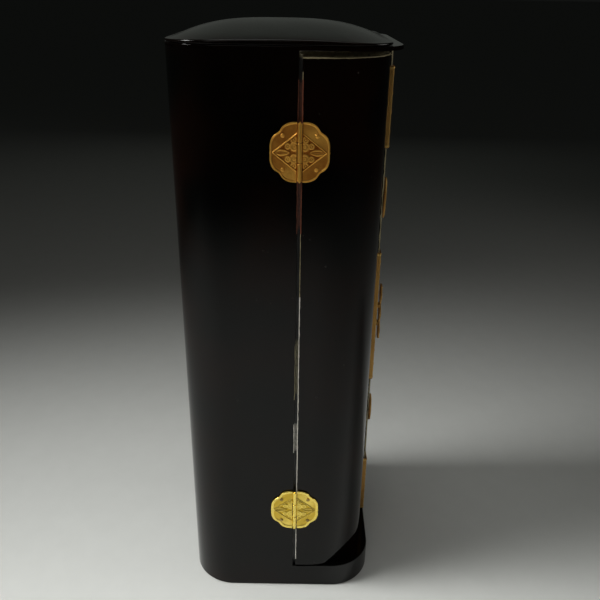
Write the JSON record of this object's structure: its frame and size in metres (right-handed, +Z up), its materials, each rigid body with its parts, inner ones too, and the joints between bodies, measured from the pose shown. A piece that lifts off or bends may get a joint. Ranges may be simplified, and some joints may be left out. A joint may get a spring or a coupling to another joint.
{
  "type": "portable shrine",
  "caption": "Small upright lacquered cabinet shrine: rounded plan, hollow and empty inside, low domed roof, two full-height doors on gilt hinges, battened centre line.",
  "frame": {"origin": "middle of the footprint box, on the plane it stands on", "axes": "+Z up, front with the doors towards -Y, back towards +Y, the viewer's left door on the -X side"},
  "size_m": [0.1084, 0.1042, 0.303],
  "materials": {
    "lacquer": "polished black lacquer over wood",
    "gilt": "deep gilt copper, stippled and chased, worn",
    "pale_gilt": "bright pale gilt copper, stippled and chased",
    "dull_gilt": "dull worn gilt copper sheet"
  },
  "bodies": {
    "case": {"carcass": "lacquer", "roof": "lacquer", "hinge_case_leaf_left_upper": "gilt", "hinge_pin_left_upper": "gilt", "nail_case_top_left_upper": "gilt", "nail_case_bottom_left_upper": "gilt", "hinge_case_leaf_right_upper": "gilt", "hinge_pin_right_upper": "gilt", "nail_case_top_right_upper": "gilt", "nail_case_bottom_right_upper": "gilt", "hinge_case_leaf_left_lower": "pale_gilt", "hinge_pin_left_lower": "pale_gilt", "nail_case_top_left_lower": "pale_gilt", "nail_case_bottom_left_lower": "pale_gilt", "hinge_case_leaf_right_lower": "pale_gilt", "hinge_pin_right_lower": "pale_gilt", "nail_case_top_right_lower": "pale_gilt", "nail_case_bottom_right_lower": "pale_gilt"},
    "left_door": {"door_left": "lacquer", "batten": "lacquer", "sleeve_lower": "dull_gilt", "sleeve_middle": "dull_gilt", "sleeve_upper": "dull_gilt", "mount_upper": "dull_gilt", "mount_lower": "dull_gilt", "latch_plate": "dull_gilt", "hinge_door_leaf_left_upper": "gilt", "nail_door_top_left_upper": "gilt", "nail_door_bottom_left_upper": "gilt", "hinge_door_leaf_left_lower": "pale_gilt", "nail_door_top_left_lower": "pale_gilt", "nail_door_bottom_left_lower": "pale_gilt"},
    "right_door": {"door_right": "lacquer", "hinge_door_leaf_right_upper": "gilt", "nail_door_top_right_upper": "gilt", "nail_door_bottom_right_upper": "gilt", "hinge_door_leaf_right_lower": "pale_gilt", "nail_door_top_right_lower": "pale_gilt", "nail_door_bottom_right_lower": "pale_gilt"}
  },
  "joints": [
    {"name": "left_door_hinge", "type": "hinge", "parent": "case", "child": "left_door", "pos_m": [-0.05325, -0.0061, 0.15], "axis": [0, 0, -1], "range_deg": [0, 165]},
    {"name": "right_door_hinge", "type": "hinge", "parent": "case", "child": "right_door", "pos_m": [0.05325, -0.0061, 0.15], "axis": [0, 0, 1], "range_deg": [0, 165]}
  ]
}
